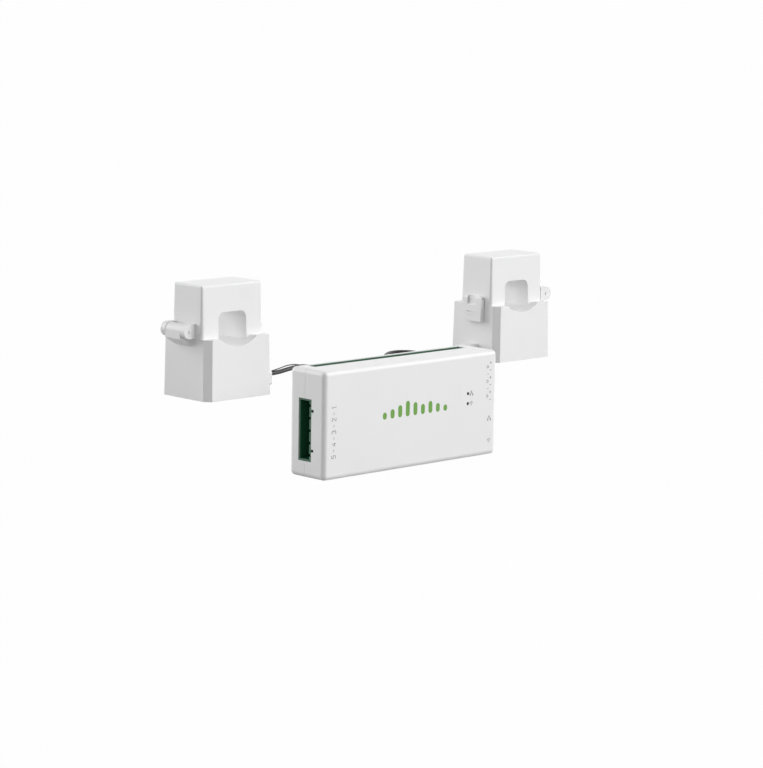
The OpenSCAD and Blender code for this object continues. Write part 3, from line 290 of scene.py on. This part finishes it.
# Clamp mouldings: body, base cover, cap and latch in white flame-retardant nylon, satin
# from the mould, with the draft and small edge rounds that let them leave it.
white_nylon = moulded("white_nylon", "#F0F0F0", "#EDEDED", 0.46, 1.53, 0.6, 0.02)
SHELL_EDGE, OUTLET_EDGE = 0.2, 0.3
for side in ("left", "right"):
    shells = [f"{side}_{part}" for part in ("clamp_body", "base_cover", "cap", "latch")]
    finished(shells, white_nylon, SHELL_EDGE)
    finished([f"{side}_lead_outlet"], white_nylon, OUTLET_EDGE)

# Clamp works: ground steel pins and a rolled leaf spring, two ferrite core halves, and a
# black bobbin with its winding of enamelled copper wire on the lower yoke.
ground_steel = plated("ground_steel_pin", "#C6C7C8", "#B4B6B8", 0.45, 0.5)
ferrite = moulded("ground_ferrite", "#3B3C3E", "#46474A", 0.62, 1.6, 0.5, 0.05)
black_nylon = moulded("black_nylon", "#232325", "#2B2B2D", 0.5, 1.53, 0.6, 0.02)
enamelled_copper = plated("enamelled_copper_wire", "#B4652F", "#8E4A20", 0.3, 0.6)
# The winding's turns lie side by side, 0.5 mm apart along X: a Wave texture has 20 times its
# scale in radians a metre, so 2 pi / 20 / 0.0005 m is 628.
tree = enamelled_copper.node_tree
place = tree.nodes["Texture Coordinate"]
turns_wave = add(tree, "ShaderNodeTexWave", {"Scale": 628.0, "Distortion": 0.4}, [("Vector", place, "Object")])
turns_bump = add(tree, "ShaderNodeBump", {"Strength": 0.9, "Distance": 0.0002}, [("Height", turns_wave, "Fac")])
tree.links.new(turns_bump.outputs["Normal"], tree.nodes["Principled BSDF"].inputs["Normal"])
for side in ("left", "right"):
    finished([f"{side}_hinge_pin", f"{side}_latch_pin", f"{side}_core_spring"], ground_steel)
    finished([f"{side}_lower_core", f"{side}_upper_core"], ferrite)
    finished([f"{side}_bobbin"], black_nylon)
    finished([f"{side}_winding"], enamelled_copper)

# Case: two shells of white ABS, screwed together from behind, with a fine groove where
# they part. The skin is satin, a little glossier than the clamps.
white_abs = moulded("white_abs", "#F0F0F0", "#EDEDED", 0.42, 1.54, 0.6, 0.015)
finished(["front_shell", "rear_shell"], white_abs)

# Socket metal: tinned pins in the green headers, a nickel-plated network jack with
# gold-flashed contact springs.
tin_plate = plated("bright_tin_plate", "#C9CBCC", "#B4B6B8", 0.26, 0.6)
nickel_plate = plated("nickel_plated_steel", "#BFC0C1", "#A8A9AB", 0.3, 0.9)
gold_flash = plated("gold_flash", "#E0BC66", "#CFA648", 0.24, 0.5)
finished(["power_pins", "branch_pins", "clamp_port_pins"], tin_plate)
finished(["network_jack"], nickel_plate, 0.2)
finished(["network_contacts"], gold_flash)

# Aerial connector: a gold-plated brass turning, with a 36-per-inch thread outside the
# case, a bore with its centre contact, and a square base soldered to the board.
AERIAL_Y, AERIAL_Z = 5.5, 8.8
WALL_OUT, THREAD_END = 74.5, 82.5
THREAD_PITCH, CREST_R, THREAD_DEEP, TIP_BEVEL = 0.7056, 3.15, 0.38, 0.45
NECK_R, BORE_R, CORE_R, BORE_DEEP, CORE_SUNK = 2.835, 2.268, 0.63, 3.0, 0.6
BASE_X, BASE_HALF_Y, BASE_HALF_Z, BASE_MID_Y, BASE_ROUND = (65.1, 72.3), 4.55, 3.6, 6.45, 0.5


def threaded_turning():
    """A profile of radius along X turned about the axis, its radius between the wall and the tip cut by
    a triangular groove that moves on one pitch a turn."""
    a = np.linspace(0, 2 * np.pi, 48, endpoint=False)[None]
    x = np.linspace(WALL_OUT, THREAD_END, 137)[:, None]
    cut = np.abs(2 * ((x - WALL_OUT) / THREAD_PITCH - a / (2 * np.pi)) % 2 - 1)
    thread = CREST_R - THREAD_DEEP * cut - np.clip(x - THREAD_END + TIP_BEVEL, 0, None)
    floor_x, tip_x = THREAD_END - BORE_DEEP, THREAD_END - CORE_SUNK
    before = np.array([[BASE_X[1] - 1, NECK_R], [WALL_OUT - 0.05, NECK_R]])
    after = np.array([[THREAD_END, BORE_R + 0.15], [THREAD_END - 0.15, BORE_R], [floor_x, BORE_R], [floor_x, CORE_R],
                      [tip_x - 0.2, CORE_R], [tip_x, CORE_R - 0.2], [tip_x, 0.02]])
    rest = np.ones_like(a)
    r = np.vstack([before[:, 1:] * rest, thread, after[:, 1:] * rest])
    along = np.vstack([before[:, :1] * rest, x * rest, after[:, :1] * rest])
    return np.stack([along, AERIAL_Y - r * np.cos(a), AERIAL_Z + r * np.sin(a)], -1)


def soldered_base():
    """A rectangle with round corners carried along X, drawn in by 0.3 mm at both ends."""
    a = (np.arange(32) + 0.5)[None] * 2 * np.pi / 32
    x = np.array([BASE_X[0], BASE_X[0] + 0.3, BASE_X[1] - 0.3, BASE_X[1]])[:, None]
    drawn_in = np.array([0.3, 0, 0, 0.3])[:, None]
    wide = np.sign(np.cos(a)) * (BASE_HALF_Y - BASE_ROUND - drawn_in) + BASE_ROUND * np.cos(a)
    high = np.sign(np.sin(a)) * (BASE_HALF_Z - BASE_ROUND - drawn_in) + BASE_ROUND * np.sin(a)
    return np.stack([x + 0 * a, BASE_MID_Y - wide, AERIAL_Z + high], -1)


aerial = surface("threaded_aerial_connector", [threaded_turning(), soldered_base()], gold_flash)
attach(aerial, "root")
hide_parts("aerial_connector")

# Status lights: smoked polycarbonate pipes, flush with the front, over two clear chips.
smoked_pipe = moulded("smoked_polycarbonate", "#161718", "#1C1D1E", 0.2, 1.58, 1.0, 0.005)
clear_chip = moulded("clear_epoxy", "#E6E4DA", "#DAD8CC", 0.25, 1.55, 1.0, 0.005)
finished(["light_pipes"], smoked_pipe)
finished(["status_lights"], clear_chip)

# Front print: a film of screen ink 0.04 mm thick on the case's front. A green chart of
# bars in the middle, and grey signs beside the lights and in line with the sockets.
INK_OUT, INK_IN = -15.54, -15.49
CHART_X0, CHART_STEP, CHART_Z0, BAR_W = -24.0, 6.55, 32.6, 3.3
CHART_HEIGHTS = [4.4, 5.8, 7.6, 9.7, 8.2, 6.4, 7.6, 5.6, 4.0]
LINE, FINE_LINE = 0.42, 0.34
green_ink = moulded("green_screen_ink", "#69A037", "#63993A", 0.5, 1.5, 0.4, 0.01)
grey_ink = moulded("grey_screen_ink", "#90908E", "#8A8A88", 0.5, 1.5, 0.4, 0.01)
DIGITS = {
    1: [(.1, .8), (.3, 1), (.3, 0)],
    2: [(.02, .78), (.1, .95), (.3, 1), (.5, .93), (.55, .75), (.45, .55), (0, 0), (.6, 0)],
    3: [(.03, .9), (.2, 1), (.42, .98), (.55, .8), (.45, .58), (.25, .53), (.48, .47), (.58, .25), (.45, .05),
        (.22, 0), (.02, .1)],
    4: [(.45, 0), (.45, 1), (0, .3), (.6, .3)],
    5: [(.55, 1), (.1, 1), (.05, .55), (.3, .62), (.52, .5), (.57, .28), (.45, .06), (.22, 0), (.02, .08)],
}


def stroke(points, width):
    """Outline of a pen line: each point is moved half the width to both sides along the mean normal of
    its two legs, longer at a corner, and each end is closed by a half circle."""
    p = np.array(points, float)
    leg = np.diff(p, axis=0)
    leg /= np.linalg.norm(leg, axis=1)[:, None]
    normal = np.stack([-leg[:, 1], leg[:, 0]], 1)
    before, after = np.vstack([normal[:1], normal]), np.vstack([normal, normal[-1:]])
    mean = before + after
    mean /= np.clip((mean * after).sum(1), 0.55, None)[:, None]
    off = mean * width / 2
    turn = np.radians(np.linspace(0, 180, 8)[1:-1])[:, None]
    end = p[-1] + width / 2 * (-np.cos(turn) * normal[-1] + np.sin(turn) * leg[-1])
    start = p[0] + width / 2 * (np.cos(turn) * normal[0] - np.sin(turn) * leg[0])
    return np.vstack([p - off, end, (p + off)[::-1], start])


def printed(name, outlines, ink):
    """One mesh of ink films: each outline in X and Z is a front face, a back face in the wall and the
    narrow side between them."""
    points, faces, start = [], [], 0
    for outline in outlines:
        n = len(outline)
        k = np.arange(n)
        after = np.roll(k, -1)
        for y in (INK_OUT, INK_IN):
            points.append(np.stack([outline[:, 0], np.full(n, y), outline[:, 1]], 1))
        faces += [(k + start).tolist(), (k[::-1] + start + n).tolist()]
        faces += (np.stack([k, k + n, after + n, after], 1) + start).tolist()
        start += 2 * n
    mesh = bpy.data.meshes.new(name)
    mesh.from_pydata(np.vstack(points) / 1000, [], faces)
    mesh.materials.append(ink)
    mesh.update()
    piece = bpy.data.objects.new(name, mesh)
    bpy.context.scene.collection.objects.link(piece)
    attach(piece, "root")


def disc(x, z, r):
    """Outline of a dot: points round a circle."""
    a = np.linspace(0, 2 * np.pi, 20, endpoint=False)
    return np.stack([x + r * np.cos(a), z + r * np.sin(a)], 1)


def network_sign(x, z):
    """Three dots joined by a branching line, one above two."""
    head, left, right = (x, z + 1.15), (x - 1.15, z - 1.05), (x + 1.15, z - 1.05)
    fork = z + 0.05
    return [disc(*head, 0.52), disc(*left, 0.52), disc(*right, 0.52),
            stroke([left, (left[0], fork), (right[0], fork), right], FINE_LINE),
            stroke([head, (x, fork)], FINE_LINE)]


def wave_sign(x, z):
    """A dot under two arcs of a fan."""
    a = np.radians(np.linspace(135, 45, 9))
    foot = z - 1.1
    arcs = [np.stack([x + r * np.cos(a), foot + r * np.sin(a)], 1) for r in (1.15, 2.0)]
    return [disc(x, foot, 0.36)] + [stroke(arc, FINE_LINE) for arc in arcs]


bar_x = CHART_X0 + CHART_STEP * np.arange(len(CHART_HEIGHTS))
bar_foot = CHART_Z0 + BAR_W / 2
bars = [stroke([(x, bar_foot), (x, bar_foot + h - BAR_W)], BAR_W) for x, h in zip(bar_x, CHART_HEIGHTS)]
printed("front_chart_print", bars, green_ink)
LIGHT_SIGN_X, SOCKET_SIGN_X = 51.6, 68.0
signs = network_sign(LIGHT_SIGN_X, 41.4) + wave_sign(LIGHT_SIGN_X, 35.1)
signs += network_sign(SOCKET_SIGN_X, 23.7) + wave_sign(SOCKET_SIGN_X, 9.5)
WAY_PITCH, WAY_MID, DIGIT_H, DIGIT_X = 7.62, 29.5, 3.3, -64.8
for number, shape in DIGITS.items():
    z = WAY_MID + (3 - number) * WAY_PITCH
    p = np.array(shape) * DIGIT_H
    signs.append(stroke(np.stack([DIGIT_X - p[:, 1], z - 0.3 * DIGIT_H + p[:, 0]], 1), LINE))
    if number < 5:
        signs.append(stroke([(DIGIT_X - DIGIT_H / 2, z - 3.2), (DIGIT_X - DIGIT_H / 2, z - 4.4)], FINE_LINE))
PORT_PITCH, PORT_MID, POLE_X, CLAMP_X, RING_R = 4.7, 47.5, 68.6, 65.8, 0.75
open_ring = np.radians(np.linspace(-150, 150, 17))
ring = RING_R * np.stack([np.cos(open_ring), np.sin(open_ring)], 1)
for i in range(6):
    z = PORT_MID + (i - 2.5) * PORT_PITCH
    signs.append(stroke([(POLE_X - 0.6, z), (POLE_X + 0.6, z)], LINE))
    if i % 2:
        signs.append(stroke([(POLE_X, z - 0.6), (POLE_X, z + 0.6)], LINE))
    else:
        signs.append(stroke(ring + [CLAMP_X, z + PORT_PITCH / 2], LINE))
    if i in (2, 4):
        signs.append(stroke([(CLAMP_X, z - PORT_PITCH / 2), (CLAMP_X + 1, z - PORT_PITCH / 2)], FINE_LINE))
printed("front_sign_print", signs, grey_ink)

# Board: green solder resist on glass-epoxy, with a wound transformer, sleeved capacitors,
# dipped surge absorbers, a canned radio and black resin chips soldered to it.
solder_resist = moulded("green_solder_resist", "#2B6A45", "#225A39", 0.32, 1.55, 1.5, 0.03)
wound_core = moulded("taped_ferrite_core", "#333437", "#C9A53A", 0.55, 1.5, 2.0, 0.05)
shrink_sleeve = moulded("blue_shrink_sleeve", "#22304A", "#2A3A58", 0.28, 1.55, 1.5, 0.01)
dipped_epoxy = moulded("blue_dipped_epoxy", "#2A67A0", "#235A8E", 0.3, 1.55, 1.2, 0.04)
black_resin = moulded("black_moulded_resin", "#1F2022", "#2A2B2D", 0.55, 1.55, 0.4, 0.02)
finished(["main_board"], solder_resist)
finished(["supply_transformer"], wound_core)
finished(["capacitors"], shrink_sleeve)
finished(["surge_absorbers"], dipped_epoxy)
finished(["radio_module"], tin_plate)
finished(["metering_chip", "sense_resistors"], black_resin)

# Floor, light and surroundings: a plain white sweep, a broad soft key from the front
# right, a lower fill from the back left, a small card beside the right clamp, and an even sky.


def seen_ray(tree):
    """One for a ray that the eye follows, straight, by reflection or through glass, and zero for light."""
    rays = add(tree, "ShaderNodeLightPath", {})
    seen = add(tree, "ShaderNodeMath", {"operation": "ADD", "use_clamp": True})
    for output, socket in (("Is Camera Ray", 0), ("Is Glossy Ray", 1)):
        tree.links.new(rays.outputs[output], seen.inputs[socket])
    seen_all = add(tree, "ShaderNodeMath", {"operation": "ADD", "use_clamp": True})
    tree.links.new(seen.outputs[0], seen_all.inputs[0])
    tree.links.new(rays.outputs["Is Transmission Ray"], seen_all.inputs[1])
    return seen_all


FLOOR_HALF, FLOOR_TOP, GLOW_SHARE = 30.0, -0.0003, 0.985
floor_mesh = bpy.data.meshes.new("floor")
floor_corners = [(FLOOR_HALF * x, FLOOR_HALF * y, FLOOR_TOP) for x, y in ((-1, -1), (1, -1), (1, 1), (-1, 1))]
floor_mesh.from_pydata(floor_corners, [], [(0, 1, 2, 3)])
floor = bpy.data.objects.new("floor", floor_mesh)
bpy.context.scene.collection.objects.link(floor)
white_sweep = bpy.data.materials.new("white_paper_sweep")
white_sweep.use_nodes = True
tree = white_sweep.node_tree
tree.nodes.clear()
seen = seen_ray(tree)
share = add(tree, "ShaderNodeMath", {"operation": "MULTIPLY"})
tree.links.new(seen.outputs[0], share.inputs[0])
share.inputs[1].default_value = GLOW_SHARE
paper = add(tree, "ShaderNodeBsdfDiffuse", {"Color": linear("#A0A0A0")})
glow = add(tree, "ShaderNodeEmission", {"Strength": 1.0})
sweep = add(tree, "ShaderNodeMixShader", {}, [("Fac", share, 0)])
tree.links.new(paper.outputs[0], sweep.inputs[1])
tree.links.new(glow.outputs[0], sweep.inputs[2])
add(tree, "ShaderNodeOutputMaterial", {}, [("Surface", sweep, 0)])
floor_mesh.materials.append(white_sweep)


def lamp(name, kind, towards, target, distance, strength):
    """A lamp that faces the target from a distance in metres, on the side that `towards` names."""
    made = bpy.data.objects.new(name, bpy.data.lights.new(name, kind))
    made.data.energy = strength
    away = np.array(towards) / np.linalg.norm(towards)
    across = np.cross([0, 0, 1.0], away)
    across /= np.linalg.norm(across)
    pose = np.eye(4)
    pose[:3, 0], pose[:3, 1], pose[:3, 2] = across, np.cross(away, across), away
    pose[:3, 3] = np.array(target) + away * distance
    made.matrix_world = Matrix(pose.tolist())
    bpy.context.scene.collection.objects.link(made)
    return made


SUN_FAR, RIGHT_CLAMP_END = 3.0, (0.35, 0.275, 0.04)
lamp("key", "SUN", (0.66, -0.62, 0.27), (0, 0, 0), SUN_FAR, 3.0).data.angle = np.radians(64)
lamp("fill", "SUN", (-0.42, 0.87, 0.26), (0, 0, 0), SUN_FAR, 2.1).data.angle = np.radians(50)
card = lamp("card", "AREA", (-1.0, -0.12, 0.25), RIGHT_CLAMP_END, 0.16, 0.026)
card.data.size = 0.1
card.visible_camera = False

world = bpy.data.worlds.new("even_sky")
world.use_nodes = True
tree = world.node_tree
tree.nodes.clear()
seen = seen_ray(tree)
sky = add(tree, "ShaderNodeBackground", {"Color": (1, 1, 1, 1), "Strength": 0.45})
backdrop = add(tree, "ShaderNodeBackground", {"Color": (1, 1, 1, 1), "Strength": 1.0})
both = add(tree, "ShaderNodeMixShader", {}, [("Fac", seen, 0)])
tree.links.new(sky.outputs[0], both.inputs[1])
tree.links.new(backdrop.outputs[0], both.inputs[2])
add(tree, "ShaderNodeOutputWorld", {}, [("Surface", both, 0)])
bpy.context.scene.world = world

bpy.context.view_layer.update()
